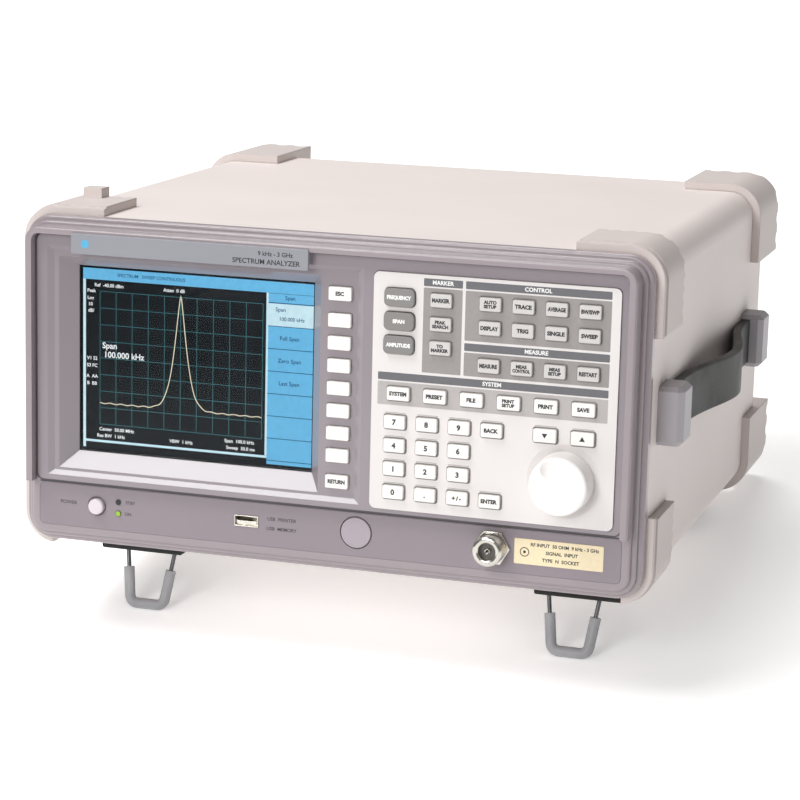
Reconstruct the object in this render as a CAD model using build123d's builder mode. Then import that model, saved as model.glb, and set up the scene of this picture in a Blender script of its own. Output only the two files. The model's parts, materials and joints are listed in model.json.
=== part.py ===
from build123d import *
import math
import os

# Bench spectrum analyzer.
# Body frame while modelling: X to the operator's right, Y from the keypad overlay back into
# the case, Z up from the underside of the case. The finished pieces are leaned back onto the
# tilt bails and centred over their footprint just before they are written.

# ---------------------------------------------------------------- driving dimensions, mm
# case
case_half = 171.5
case_height = 178.0
case_corner = 14.0
case_wall = 2.2
sleeve_front = 16.0
case_rear = 322.0
rear_panel_y = 316.0
rear_panel_t = 2.0

# front frame
lip_half = 166.0
lip_front = -4.6
lip_top = 173.4
lip_bottom = 35.0
lip_inner = 162.0
lip_inner_top = 170.0
seat_y = 4.5
lower_bottom = 5.5
lower_panel_t = 2.2

# inner panel, the recess for the screen and soft keys, and the screen
panel_y = 0.8
recess_y = 2.8
well_back = 10.0
window_t = 1.4
screen_x, screen_z = -73.9, 101.9
screen_w, screen_h = 130.6, 97.9

# keypad
overlay_left, overlay_right = 27.7, 157.3
overlay_bottom, overlay_top = 37.9, 162.4
overlay_t = 2.4
board_y = 8.4
key_gap = 0.35
key_travel = 1.2
key_height = 2.2
key_flange = 1.1
key_flange_t = 1.2

# knob
knob_x, knob_z = 131.0, 61.5
knob_r = 15.2
knob_length = 13.6
knob_shaft_r = 3.0

# tilt feet and bails
foot_inner, foot_outer = 102.0, 150.0
foot_height = 17.5
foot_front, foot_back = 62.0, 118.0
rear_foot_front, rear_foot_back = 246.0, 284.0
rear_foot_round = 3.0
bail_x = 122.8
bail_pivot_y, bail_pivot_z = 71.0, -8.5
bail_leg = 40.0
bail_lean = 13.0
bail_top_half = 15.4
bail_low_half = 10.0
bail_wire_r = 1.2
bail_sleeve_r = 3.0

# carry strap
strap_z = 93.0
strap_width = 25.0
strap_t = 5.0
strap_bow = 189.5

# fan
fan_x, fan_z = -105.0, 96.0
fan_size = 80.0
fan_depth = 25.0

running = 0.05
eps = 0.3


# ---------------------------------------------------------------- helpers
def facing(y):
    """The plane at depth y that looks at the operator; extruding by -t goes t into the case."""
    return Plane.XZ.offset(-y)


def outline(y, left, right, bottom, top, radius=0.0):
    """A rectangle at depth y, with rounded corners when a radius is given."""
    centre = ((left + right) / 2, (bottom + top) / 2)
    with BuildSketch(facing(y)) as profile:
        with Locations(centre):
            if radius > 0:
                RectangleRounded(right - left, top - bottom, radius)
            else:
                Rectangle(right - left, top - bottom)
    return profile.sketch


def centred(y, x, z, width, height, radius=0.0):
    """A rectangle at depth y, given by its centre and its size."""
    return outline(y, x - width / 2, x + width / 2, z - height / 2, z + height / 2, radius)


def disc(y, x, z, radius):
    """A circle at depth y."""
    with BuildSketch(facing(y)) as profile:
        with Locations((x, z)):
            Circle(radius)
    return profile.sketch


def slab(y, depth, left, right, bottom, top, radius, nose):
    """A rounded slab whose front edge is rounded off by nose."""
    with BuildPart() as piece:
        extrude(outline(y, left, right, bottom, top, radius), amount=-depth)
        fillet(piece.faces().sort_by(Axis.Y)[0].edges(), nose)
    return piece.part


def ramp(front, mouth, back, throat):
    """A cutter that narrows from one rectangle to another, each (left, right, bottom, top)."""
    with BuildPart() as piece:
        loft([outline(front, *mouth).face(), outline(back, *throat).face()])
    return piece.part


def box(left, right, front, back, bottom, top):
    """A plain block, given by its six faces."""
    with BuildPart() as piece:
        extrude(outline(front, left, right, bottom, top), amount=-(back - front))
    return piece.part


# ---------------------------------------------------------------- key layout
# Each block lists its key centres (x, z), key size and corner radius. A block's keys stand on
# the face at depth `face`.
soft_x = 9.2
soft_pitch = 11.92
soft_end = 13.9
soft_mid_z = 99.2
soft_z = [soft_mid_z + soft_pitch * (3 - i) for i in range(7)]
soft_size = (12.4, 7.1, 0.8)
plain_size = (11.2, 6.9, 0.8)
system_size = (12.0, 6.9, 0.8)
control_x = [90.1 + 17.3 * i for i in range(4)]
system_x = [42.5 + 19.55 * i for i in range(6)]
pad_x = [40.9 + 17.25 * i for i in range(4)]
pad_z = [84.7 - 12.35 * i for i in range(4)]
upper_z = [149.7, 137.4, 125.1]

key_nodes = {
    "key_escape": ([(soft_x, soft_z[0] + soft_end)], soft_size, recess_y),
    "key_return": ([(soft_x, soft_z[6] - soft_end)], soft_size, recess_y),
    "key_arrow_down": ([(system_x[4], pad_z[0])], system_size, 0.0),
    "key_arrow_up": ([(system_x[5], pad_z[0])], system_size, 0.0),
    "keys_marker": ([(64.2, z) for z in upper_z], plain_size, 0.0),
    "keys_control_upper": ([(x, upper_z[0]) for x in control_x], plain_size, 0.0),
    "keys_control_lower": ([(x, upper_z[1]) for x in control_x], plain_size, 0.0),
    "keys_measure": ([(x, 118.0) for x in control_x], plain_size, 0.0),
    "keys_system": ([(x, 99.7) for x in system_x], system_size, 0.0),
    "keys_pad_row_1": ([(x, pad_z[0]) for x in pad_x], plain_size, 0.0),
    "keys_pad_row_2": ([(x, pad_z[1]) for x in pad_x[:3]], plain_size, 0.0),
    "keys_pad_row_3": ([(x, pad_z[2]) for x in pad_x[:3]], plain_size, 0.0),
    "keys_pad_row_4": ([(x, pad_z[3]) for x in pad_x], plain_size, 0.0),
}
for i in range(7):
    key_nodes[f"key_soft_{i + 1}"] = ([(soft_x, soft_z[i])], soft_size, recess_y)
for i in range(3):
    key_nodes[f"key_function_{i + 1}"] = ([(42.0, upper_z[i])], (16.2, 9.4, 2.6), 0.0)


def key_holes(face):
    """Clearance holes, through everything, for the keys that stand on one face."""
    sketches = []
    for centres, (width, height, radius), key_face in key_nodes.values():
        if key_face == face:
            for x, z in centres:
                hole_size = (width + 2 * key_gap, height + 2 * key_gap, radius + key_gap)
                sketches.append(centred(-20, x, z, *hole_size))
    return sketches


def one_key(x, z, width, height, radius, face):
    """A key cap with the flange that holds it in and the stem that works its contact."""
    flange_y = seat_y + eps if face == recess_y else overlay_t + eps
    stem_y = flange_y + key_flange_t
    with BuildPart() as key:
        cap = centred(face - key_height, x, z, width, height, radius)
        extrude(cap, amount=-(flange_y - face + key_height))
        fillet(key.faces().sort_by(Axis.Y)[0].edges(), 0.5)
        flange = centred(flange_y, x, z, width + 2 * key_flange, height + 2 * key_flange)
        extrude(flange, amount=-key_flange_t)
        extrude(centred(stem_y, x, z, 5.0, 4.0), amount=-(board_y - key_travel - 0.4 - stem_y))
    return key.part


# ---------------------------------------------------------------- front frame
with BuildPart() as lip:
    add(slab(lip_front, seat_y - lip_front, -lip_half, lip_half, lower_bottom, lip_top, 8.0, 1.1))
    # the lip is open at the bottom, where the inner panel comes down to its edge
    lip_depth = -(seat_y - lip_front + 1)
    lip_opening = outline(lip_front - 1, -lip_inner, lip_inner, 0.0, lip_inner_top, 4.0)
    extrude(lip_opening, amount=lip_depth, mode=Mode.SUBTRACT)
    below_lip = outline(lip_front - 1, -lip_half - 1, lip_half + 1, 0.0, lip_bottom)
    extrude(below_lip, amount=lip_depth, mode=Mode.SUBTRACT)
frame_bands = [
    slab(seat_y, 4.0, -lip_half, lip_half, lower_bottom, lip_top, 8.0, 1.2),
    slab(7.2, 4.0, -168.6, 168.6, 2.8, 175.4, 10.5, 1.4),
    slab(10.2, sleeve_front - 10.2, -case_half, case_half, 0.0, case_height, case_corner, 1.6),
]
with BuildPart() as front_frame:
    for band in frame_bands:
        add(band)
    add(lip.part)
    # spigot that plugs into the case sleeve
    spigot = case_half - case_wall - 0.2
    extrude(
        outline(sleeve_front, -spigot, spigot, case_wall + 0.2, case_height - case_wall - 0.2, 11.5),
        amount=-8.0,
    )
    # opening behind the inner panel
    extrude(outline(seat_y - 1, -157.0, 157.5, 41.0, 163.0, 2.0), amount=-25.0, mode=Mode.SUBTRACT)
    # opening and seat for the lower panel
    lower_seat = outline(seat_y - 1, -161.6, 161.6, 9.5, 33.0, 3.0)
    extrude(lower_seat, amount=-(lower_panel_t + 1), mode=Mode.SUBTRACT)
    extrude(outline(seat_y, -158.0, 158.0, 12.0, 30.5, 2.0), amount=-25.0, mode=Mode.SUBTRACT)
    # the ring is hollowed from behind
    extrude(outline(12.0, -165.5, 165.5, 6.0, 172.0, 8.0), amount=-14.0, mode=Mode.SUBTRACT)

# ---------------------------------------------------------------- inner panel
with BuildPart() as inner_panel:
    panel_half = lip_inner - 0.4
    panel_top = lip_inner_top - 0.4
    extrude(outline(panel_y, -panel_half, panel_half, lip_bottom, panel_top), amount=-(seat_y - panel_y))
    fillet(inner_panel.edges().filter_by(Axis.Y).group_by(Axis.Z)[-1], 3.6)
    # well behind the panel for the screen
    extrude(outline(seat_y, -152.0, -0.4, 41.3, 159.6), amount=-(well_back - seat_y))
    # recess with bevelled sides, then the sloping sides down to the screen
    recess_mouth = (-155.2, 21.9, 38.6, 163.0)
    recess_floor = (-151.9, 18.5, 41.0, 160.7)
    add(ramp(panel_y, recess_mouth, recess_y, recess_floor), mode=Mode.SUBTRACT)
    screen_mouth = (-149.3, -1.7, 42.5, 157.7)
    screen_throat = (-140.4, -7.6, 51.1, 152.3)
    add(ramp(recess_y, screen_mouth, well_back, screen_throat), mode=Mode.SUBTRACT)
    # pocket and ledge for the keypad overlay
    overlay_width = overlay_right - overlay_left
    overlay_height = overlay_top - overlay_bottom
    overlay_middle = ((overlay_left + overlay_right) / 2, (overlay_bottom + overlay_top) / 2)
    pocket = centred(panel_y, *overlay_middle, overlay_width + 0.4, overlay_height + 0.4, 3.0)
    extrude(pocket, amount=-(overlay_t - panel_y), mode=Mode.SUBTRACT)
    extrude(outline(panel_y, 30.0, 155.0, 40.4, 160.0, 2.0), amount=-5.0, mode=Mode.SUBTRACT)
    for hole in key_holes(recess_y):
        extrude(hole, amount=-40.0, mode=Mode.SUBTRACT)

with BuildPart() as screen_window:
    extrude(outline(well_back, -143.4, -4.6, 48.1, 155.3, 1.0), amount=-window_t)

with BuildPart() as lcd_module:
    pane_y = well_back + window_t
    extrude(centred(pane_y, screen_x, screen_z, screen_w + 8, screen_h + 8), amount=-1.6)
    extrude(centred(pane_y + 1.6, screen_x, screen_z, screen_w + 5, screen_h + 5), amount=-5.0)
    fillet(lcd_module.edges().filter_by(Axis.Y), 1.0)

# ---------------------------------------------------------------- keypad overlay
with BuildPart() as keypad_overlay:
    extrude(outline(0, overlay_left, overlay_right, overlay_bottom, overlay_top, 3.2), amount=-overlay_t)
    # shallow dish round the knob and the hole for its shaft
    with Locations(Plane((knob_x, 0, knob_z), z_dir=(0, -1, 0))):
        CounterSinkHole(knob_r + 1.2, knob_r + 4.2, depth=1.0, counter_sink_angle=140)
    extrude(disc(1.0, knob_x, knob_z, knob_r + 1.6), amount=-(overlay_t - 1.0))
    extrude(disc(-1, knob_x, knob_z, knob_shaft_r + 1.0), amount=-10.0, mode=Mode.SUBTRACT)
    for hole in key_holes(0.0):
        extrude(hole, amount=-40.0, mode=Mode.SUBTRACT)

# ---------------------------------------------------------------- name plate
with BuildPart() as name_plate:
    extrude(outline(lip_front - 1.2, -138.5, -6.0, 160.6, 171.6, 1.0), amount=-1.2)
    extrude(outline(lip_front, -138.0, -6.5, 163.3, 169.4), amount=-(panel_y - lip_front))
    fillet(name_plate.faces().sort_by(Axis.Y)[0].edges(), 0.4)

# ---------------------------------------------------------------- knob and encoder
with BuildPart() as tuning_knob:
    knob_front = 0.4 - knob_length
    extrude(disc(knob_front, knob_x, knob_z, knob_r), amount=-knob_length, taper=-2)
    fillet(tuning_knob.faces().sort_by(Axis.Y)[0].edges(), 1.6)
    # finger dimple
    dimple_turn = math.radians(120)
    dimple_x = knob_x + 9.6 * math.cos(dimple_turn)
    dimple_z = knob_z + 9.6 * math.sin(dimple_turn)
    with Locations((dimple_x, knob_front - 3.4, dimple_z)):
        Sphere(5.6, mode=Mode.SUBTRACT)
    # shaft
    extrude(disc(0.3, knob_x, knob_z, knob_shaft_r), amount=-11.7)

with BuildPart() as knob_encoder:
    extrude(disc(overlay_t + 0.6, knob_x, knob_z, 4.4), amount=-(board_y + 1.6 - overlay_t - 0.6))
    extrude(centred(board_y + 1.6, knob_x, knob_z, 13.0, 13.0, 1.0), amount=-6.0)
    extrude(disc(0, knob_x, knob_z, knob_shaft_r + running), amount=-12.5, mode=Mode.SUBTRACT)

# ---------------------------------------------------------------- lower panel and its fittings
power_x, power_z = -127.9, 22.3
power_r = 4.35
led_x = -115.4
led_z = (25.6, 19.3)
led_r = 1.5
usb_x, usb_z = -41.8, 22.6
usb_w, usb_h = 13.3, 5.9
cap_x, cap_z = 19.4, 22.4
cap_stem_r = 5.9
input_x, input_z = 93.5, 22.4
input_r = 7.9
lower_back = seat_y + lower_panel_t
with BuildPart() as lower_panel:
    extrude(outline(seat_y, -161.5, 161.5, 9.6, 32.9, 2.9), amount=-lower_panel_t)
    cut_y = seat_y - 1
    extrude(disc(cut_y, power_x, power_z, power_r + 1.05), amount=-1.9, mode=Mode.SUBTRACT)
    extrude(disc(cut_y, power_x, power_z, power_r + eps), amount=-10.0, mode=Mode.SUBTRACT)
    for z in led_z:
        extrude(disc(cut_y, led_x, z, led_r), amount=-10.0, mode=Mode.SUBTRACT)
    extrude(centred(cut_y, usb_x, usb_z, usb_w, usb_h), amount=-10.0, mode=Mode.SUBTRACT)
    extrude(disc(cut_y, cap_x, cap_z, 8.8), amount=-2.3, mode=Mode.SUBTRACT)
    extrude(disc(cut_y, cap_x, cap_z, cap_stem_r + 0.1), amount=-10.0, mode=Mode.SUBTRACT)
    extrude(disc(cut_y, input_x, input_z, input_r), amount=-10.0, mode=Mode.SUBTRACT)

with BuildPart() as power_button:
    button_front = seat_y - 2.7
    flange_front = button_front + 7.2
    extrude(disc(button_front, power_x, power_z, power_r), amount=-7.2)
    fillet(power_button.faces().sort_by(Axis.Y)[0].edges(), 1.0)
    extrude(disc(flange_front, power_x, power_z, power_r + 0.95), amount=-1.5)
    extrude(disc(flange_front + 1.5, power_x, power_z, 2.0), amount=-4.0)

with BuildPart() as status_leds:
    led_front = seat_y - 0.5
    for z in led_z:
        extrude(disc(led_front, led_x, z, led_r), amount=-7.0)
        extrude(disc(led_front + 7.0, led_x, z, led_r + 0.4), amount=-1.0)

with BuildPart() as usb_port:
    usb_front = seat_y - 0.6
    extrude(centred(usb_front, usb_x, usb_z, usb_w, usb_h), amount=-16.0)
    extrude(centred(usb_front, usb_x, usb_z, usb_w - 0.8, usb_h - 0.8), amount=-15.0, mode=Mode.SUBTRACT)
    # tongue with the contacts, low in the socket
    extrude(centred(usb_front + 1.1, usb_x, usb_z - 1.0, 11.0, 1.9), amount=-13.9)
    extrude(centred(lower_back, usb_x, usb_z, 16.0, 8.4), amount=-1.0)
    extrude(centred(usb_front, usb_x, usb_z + 1.2, 12.5, 2.7), amount=-14.0, mode=Mode.SUBTRACT)

with BuildPart() as port_cap:
    extrude(disc(seat_y - 0.5, cap_x, cap_z, 8.2), amount=-1.8)
    extrude(disc(seat_y + 1.3, cap_x, cap_z, cap_stem_r), amount=-4.0)
    fillet(port_cap.faces().sort_by(Axis.Y)[0].edges(), 0.4)

input_front = -7.0
with BuildPart() as rf_connector:
    extrude(disc(input_front, input_x, input_z, input_r), amount=-(lower_back - input_front))
    extrude(disc(lower_back, input_x, input_z, 6.2), amount=-10.0)
    chamfer(rf_connector.faces().sort_by(Axis.Y)[0].edges(), 0.7)
    # flats for a spanner
    with BuildSketch(facing(seat_y - 2.6)):
        with Locations((input_x, input_z)):
            RegularPolygon(radius=8.6, side_count=6, major_radius=False)
    extrude(amount=-2.6)
    extrude(disc(input_front - 1, input_x, input_z, 4.6), amount=-10.0, mode=Mode.SUBTRACT)
    extrude(disc(input_front + 2.0, input_x, input_z, 1.6), amount=-8.0)
    extrude(disc(input_front + 1.0, input_x, input_z, 0.85), amount=-6.0, mode=Mode.SUBTRACT)

label_t = 0.3
with BuildPart() as input_label:
    extrude(outline(seat_y - label_t, 105.3, 152.3, 15.1, 28.5, 0.6), amount=-label_t)

# ---------------------------------------------------------------- case
with BuildPart() as case_sleeve:
    extrude(
        outline(sleeve_front, -case_half, case_half, 0, case_height, case_corner),
        amount=-(case_rear - sleeve_front),
    )
    inner_half = case_half - case_wall
    inner_top = case_height - case_wall
    bore = outline(sleeve_front, -inner_half, inner_half, case_wall, inner_top, case_corner - case_wall)
    extrude(bore, amount=-(case_rear - sleeve_front), mode=Mode.SUBTRACT)
    # cooling slots in the underside
    with BuildSketch(Plane.XY):
        with Locations((-60, 190), (60, 190)):
            with GridLocations(0, 9, 1, 8):
                SlotOverall(60, 3.5)
    extrude(amount=case_wall, mode=Mode.SUBTRACT)

# rear fittings stand in holes of the rear panel
inlet_x, inlet_z = 118.0, 42.0
inlet_w, inlet_h = 27.5, 20.0
socket_x = [-20.0 + 26.0 * i for i in range(3)]
socket_z = 40.0
serial_x, serial_z = 30.0, 108.0
vent_x = 105.0
rear_screws = [(sx * 158, z) for sx in (-1, 1) for z in (16, 162)] + [(0, 16), (0, 162)]
screw_shank_r = 1.7
with BuildPart() as rear_panel:
    rear_half = inner_half - eps
    extrude(
        outline(rear_panel_y, -rear_half, rear_half, case_wall + eps, case_height - case_wall - eps, 11.0),
        amount=-rear_panel_t,
    )
    extrude(disc(rear_panel_y - 1, fan_x, fan_z, 37.0), amount=-9.0, mode=Mode.SUBTRACT)
    inlet_cut = centred(rear_panel_y - 1, inlet_x, inlet_z, inlet_w, inlet_h, 2.0)
    extrude(inlet_cut, amount=-9.0, mode=Mode.SUBTRACT)
    for x in socket_x:
        extrude(disc(rear_panel_y - 1, x, socket_z, 4.8), amount=-9.0, mode=Mode.SUBTRACT)
    extrude(centred(rear_panel_y - 1, serial_x, serial_z, 17.2, 8.6, 2.0), amount=-9.0, mode=Mode.SUBTRACT)
    for x, z in rear_screws:
        extrude(disc(rear_panel_y - 1, x, z, screw_shank_r), amount=-9.0, mode=Mode.SUBTRACT)
    with BuildSketch(facing(rear_panel_y)):
        with Locations((vent_x, 130)):
            with GridLocations(0, 8, 1, 7):
                SlotOverall(56, 3.6)
    extrude(amount=-rear_panel_t, mode=Mode.SUBTRACT)

with BuildPart() as screws:
    for x, z in rear_screws:
        extrude(disc(rear_panel_y - 5, x, z, screw_shank_r), amount=-(5 + rear_panel_t))
        head_y = rear_panel_y + rear_panel_t
        extrude(disc(head_y, x, z, 3.2), amount=-2.0)
        extrude(centred(head_y + 1.0, x, z, 3.6, 0.8), amount=-1.0, mode=Mode.SUBTRACT)
        extrude(centred(head_y + 1.0, x, z, 0.8, 3.6), amount=-1.0, mode=Mode.SUBTRACT)

# ---------------------------------------------------------------- fan
with BuildPart() as fan_frame:
    fan_front = rear_panel_y - fan_depth
    extrude(centred(fan_front, fan_x, fan_z, fan_size, fan_size, 4.0), amount=-fan_depth)
    extrude(disc(fan_front, fan_x, fan_z, 38.0), amount=-fan_depth, mode=Mode.SUBTRACT)
    # motor carrier and its four arms
    extrude(disc(fan_front, fan_x, fan_z, 17.0), amount=-3.0)
    for turn in range(4):
        with BuildSketch(facing(fan_front)):
            with Locations(Location((fan_x, fan_z), 45 + 90 * turn)):
                with Locations((27, 0)):
                    Rectangle(24, 4)
        extrude(amount=-3.0)
    extrude(disc(fan_front, fan_x, fan_z, 3.0), amount=-19.0)

with BuildPart() as fan_rotor:
    rotor_y = fan_front + 4.0
    extrude(disc(rotor_y, fan_x, fan_z, 17.5), amount=-17.0)
    extrude(disc(rotor_y - 1, fan_x, fan_z, 3.0 + running), amount=-16.2, mode=Mode.SUBTRACT)
    blade_plane = Plane(origin=(fan_x, rotor_y + 8.5, fan_z), x_dir=(0, 1, 0), z_dir=(1, 0, 0))
    with BuildPart(mode=Mode.PRIVATE) as blade:
        with BuildSketch(blade_plane.offset(17.0)):
            Rectangle(15.0, 1.8, rotation=38)
        extrude(amount=19.0)
    fan_axis = Axis((fan_x, 0, fan_z), (0, 1, 0))
    for turn in range(7):
        add(blade.part.rotate(fan_axis, 360 / 7 * turn))

with BuildPart() as fan_guard:
    guard_y = rear_panel_y + rear_panel_t
    for radius in (33.0, 25.0, 17.0, 9.0):
        extrude(disc(guard_y + 1.2, fan_x, fan_z, radius + 0.8), amount=-1.6)
        extrude(disc(guard_y + 1.2, fan_x, fan_z, radius - 0.8), amount=-1.6, mode=Mode.SUBTRACT)
    for turn in range(4):
        with BuildSketch(facing(guard_y)):
            with Locations(Location((fan_x, fan_z), 45 + 90 * turn)):
                with Locations((28.5, 0)):
                    Rectangle(40.0, 1.8)
                with Locations((47.0, 0)):
                    Circle(4.0)
        extrude(amount=-1.6)

# ---------------------------------------------------------------- rear connectors
inlet_rear = rear_panel_y + rear_panel_t
with BuildPart() as mains_inlet:
    extrude(centred(inlet_rear - 22, inlet_x, inlet_z, inlet_w - 0.4, inlet_h - 0.4, 2.0), amount=-22.0)
    extrude(centred(inlet_rear, inlet_x, inlet_z, 48.0, 24.0, 3.0), amount=-2.4)
    # shrouded socket with three blades
    with BuildSketch(facing(inlet_rear + 2.4)):
        with Locations((inlet_x, inlet_z)):
            RectangleRounded(24.4, 16.6, 2.5)
    extrude(amount=17.0, mode=Mode.SUBTRACT)
    for dx, dz in ((-7, -2), (0, 2), (7, -2)):
        extrude(centred(inlet_rear - 15.5, inlet_x + dx, inlet_z + dz, 1.8, 4.0), amount=-13.0)

with BuildPart() as rear_connectors:
    for x in socket_x:
        extrude(disc(rear_panel_y - 12, x, socket_z, 4.7), amount=-26.0)
        extrude(disc(inlet_rear, x, socket_z, 6.5), amount=-2.5)
        extrude(disc(inlet_rear + 3, x, socket_z, 3.6), amount=-20.0, mode=Mode.SUBTRACT)
        extrude(disc(inlet_rear - 3, x, socket_z, 0.9), amount=-12.0)
        extrude(disc(inlet_rear - 8, x, socket_z, 4.7), amount=-6.0)
        with BuildSketch(Plane.YZ.offset(x - 6.2)):
            with Locations((inlet_rear + 9.0, socket_z)):
                Circle(1.0)
        extrude(amount=2.2)
        with BuildSketch(Plane.YZ.offset(x + 4.0)):
            with Locations((inlet_rear + 9.0, socket_z)):
                Circle(1.0)
        extrude(amount=2.2)
    extrude(centred(rear_panel_y - 8, serial_x, serial_z, 16.8, 8.2, 1.8), amount=-15.0)
    extrude(centred(inlet_rear, serial_x, serial_z, 31.0, 12.5, 1.5), amount=-1.0)
    extrude(centred(inlet_rear + 1, serial_x, serial_z, 15.6, 7.0, 1.4), amount=-6.0, mode=Mode.SUBTRACT)
    for i in range(9):
        pin_x = serial_x - 5.5 + 2.76 * i if i < 5 else serial_x - 4.1 + 2.76 * (i - 5)
        pin_z = serial_z + 1.4 if i < 5 else serial_z - 1.4
        extrude(disc(inlet_rear + 1, pin_x, pin_z, 0.5), amount=-4.5)

# ---------------------------------------------------------------- inside
with BuildPart() as chassis:
    extrude(outline(26, -161, 161, 4.0, 5.6), amount=-(rear_panel_y - 26))
    extrude(outline(26, -161, 161, 4.0, 30.0), amount=-1.6)
    extrude(outline(rear_panel_y - 1.6, -161, 161, 4.0, 12.0), amount=-1.6)
    with BuildSketch(Plane.XY.offset(5.6)):
        with GridLocations(280, 210, 2, 2):
            with Locations((0, 160)):
                Circle(3.5)
    extrude(amount=6.4)

with BuildPart() as circuit_boards:
    # keypad board behind the keys
    extrude(outline(board_y, 1.0, 155.0, 43.0, 161.0, 2.0), amount=-1.6)
    extrude(disc(board_y - 1, knob_x, knob_z, 4.6), amount=-4.0, mode=Mode.SUBTRACT)
    # main board on the chassis pillars, with its larger components
    extrude(outline(40, -155, 155, 12.0, 13.6), amount=-245.0)
    components = [(-40, 90, 45, 45, 6), (20, 100, 30, 30, 4), (-80, 200, 60, 40, 10), (10, 210, 38, 38, 14)]
    for left, front, width, depth, height in components:
        extrude(outline(front, left, left + width, 13.6, 13.6 + height), amount=-depth)

with BuildPart() as rf_module:
    extrude(outline(70, 62, 150, 34.0, 100.0, 2.0), amount=-130.0)
    extrude(outline(70, 70, 142, 13.6, 34.0), amount=-4.0)
    extrude(outline(196, 70, 142, 13.6, 34.0), amount=-4.0)

with BuildPart() as power_supply:
    extrude(outline(210, 70, 150, 13.6, 70.0, 2.0), amount=-78.0)
    with BuildSketch(Plane.XY.offset(70.0)):
        with Locations((110, 249)):
            with GridLocations(9, 0, 8, 1):
                Rectangle(2.4, 66)
    extrude(amount=12.0)

# ---------------------------------------------------------------- carry strap
# The strap bows away from the case wall between its two end caps.
bow_ends = (74.0, 252.0)
strap_ends = (46.0, 270.0)
strap_out = 177.0


def strap_edge(inset):
    """One long edge of the strap seen from above: straight, bowed, straight."""
    with BuildLine() as edge:
        Line((strap_out - inset, strap_ends[0]), (strap_out - inset, bow_ends[0]))
        Spline(
            (strap_out - inset, bow_ends[0]),
            (strap_bow - inset, sum(bow_ends) / 2),
            (strap_out - inset, bow_ends[1]),
            tangents=[(0, 1), (0, 1)],
        )
        Line((strap_out - inset, bow_ends[1]), (strap_out - inset, strap_ends[1]))
    return edge


with BuildPart() as handle_strap:
    with BuildSketch(Plane.XY.offset(strap_z - strap_width / 2)):
        with BuildLine():
            add(strap_edge(0).line)
            add(strap_edge(strap_t).line)
            for y in strap_ends:
                Line((strap_out, y), (strap_out - strap_t, y))
        make_face()
    extrude(amount=strap_width)

cap_bottom, cap_top = 77.5, 108.5
cap_out = 185.0
cap_spans = ((30.0, 54.0), (262.0, 286.0))
with BuildPart() as handle_caps:
    for front, back in cap_spans:
        with BuildSketch(Plane.XY.offset(cap_bottom)):
            with BuildLine():
                Polyline(
                    (case_half, front),
                    (cap_out - 3.0, front),
                    (cap_out, front + 3.0),
                    (cap_out, back - 3.0),
                    (cap_out - 3.0, back),
                    (case_half, back),
                    close=True,
                )
            make_face()
        extrude(amount=cap_top - cap_bottom)
    rims = handle_caps.faces().filter_by(Axis.Z).edges()
    chamfer(rims.filter_by(lambda rim: rim.center().X > case_half + 1), 2.4)
    # slot for the strap
    slot_half = strap_width / 2 + 0.2
    slot_x = (strap_out - strap_t - 0.2, strap_out + 0.2)
    slot_y = (strap_ends[0] - 0.2, strap_ends[1] + 0.2)
    add(box(*slot_x, *slot_y, strap_z - slot_half, strap_z + slot_half), mode=Mode.SUBTRACT)

# ---------------------------------------------------------------- corner bumpers
bumper_out = 4.8
bumper_reach = 46.5
lower_arm = 16.0


def corner_band(arm, y, depth, thickness, inward=0.0):
    """An L-shaped band round the upper right corner of the case, seen from the front."""
    half = case_half + thickness
    top = case_height + thickness
    with BuildSketch(facing(y)) as profile:
        with Locations((0, case_height / 2)):
            RectangleRounded(2 * half, case_height + 2 * thickness, case_corner + thickness)
            RectangleRounded(
                2 * (case_half - inward),
                case_height - 2 * inward,
                max(case_corner - inward, 3.0),
                mode=Mode.SUBTRACT,
            )
        with Locations((half - arm / 2, top - bumper_reach / 2)):
            Rectangle(arm, bumper_reach, mode=Mode.INTERSECT)
    with BuildPart() as band:
        extrude(profile.sketch, amount=-depth)
    return band.part


def scallops(y, count, pitch, radius):
    """Round notches along the rear edge, at depth y, of both arms of a bumper."""
    arm_end = case_half + bumper_out - bumper_reach
    side_end = case_height + bumper_out - bumper_reach
    with BuildPart() as cutters:
        for i in range(count):
            step = 7.0 + pitch * i
            with Locations(Plane((arm_end + step, y, case_height + bumper_out))):
                Cylinder(radius, 7.0)
            with Locations(Plane((case_half + bumper_out, y, side_end + step), z_dir=(1, 0, 0))):
                Cylinder(radius, 7.0)
    return cutters.part


def four_corners(bands, notches):
    """Bumpers on all four corners; the lower ones reach only a little way under the case."""
    with BuildPart() as upper:
        for band in bands:
            add(corner_band(bumper_reach, *band))
        add(notches, mode=Mode.SUBTRACT)
    with BuildPart() as lower:
        for band in bands:
            add(corner_band(lower_arm, *band))
        add(notches, mode=Mode.SUBTRACT)
    with BuildPart() as corners:
        add(upper.part)
        mirror(lower.part, about=Plane.XY.offset(case_height / 2))
        mirror(about=Plane.YZ)
    return corners


bumper_front = sleeve_front + 0.4
bumper_step = 21.0
bumper_rear = 61.6
corner_bumpers_front = four_corners(
    [
        (bumper_front, 5.0, bumper_out - 0.8),
        (bumper_step, bumper_rear - bumper_step, bumper_out),
    ],
    scallops(bumper_rear, 5, 7.4, 2.5),
)
# lifting tab on the upper left front bumper
with corner_bumpers_front:
    tab_base = case_height + bumper_out - 1.0
    add(box(-157.0, -146.0, bumper_rear - 10.0, bumper_rear, tab_base, tab_base + 6.2))
corner_bumpers_rear = four_corners(
    [
        (286.0, case_rear - 286.0, bumper_out),
        (case_rear, 27.0, bumper_out, 9.0),
    ],
    scallops(case_rear + 27.0, 3, 12.5, 3.6),
)

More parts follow.
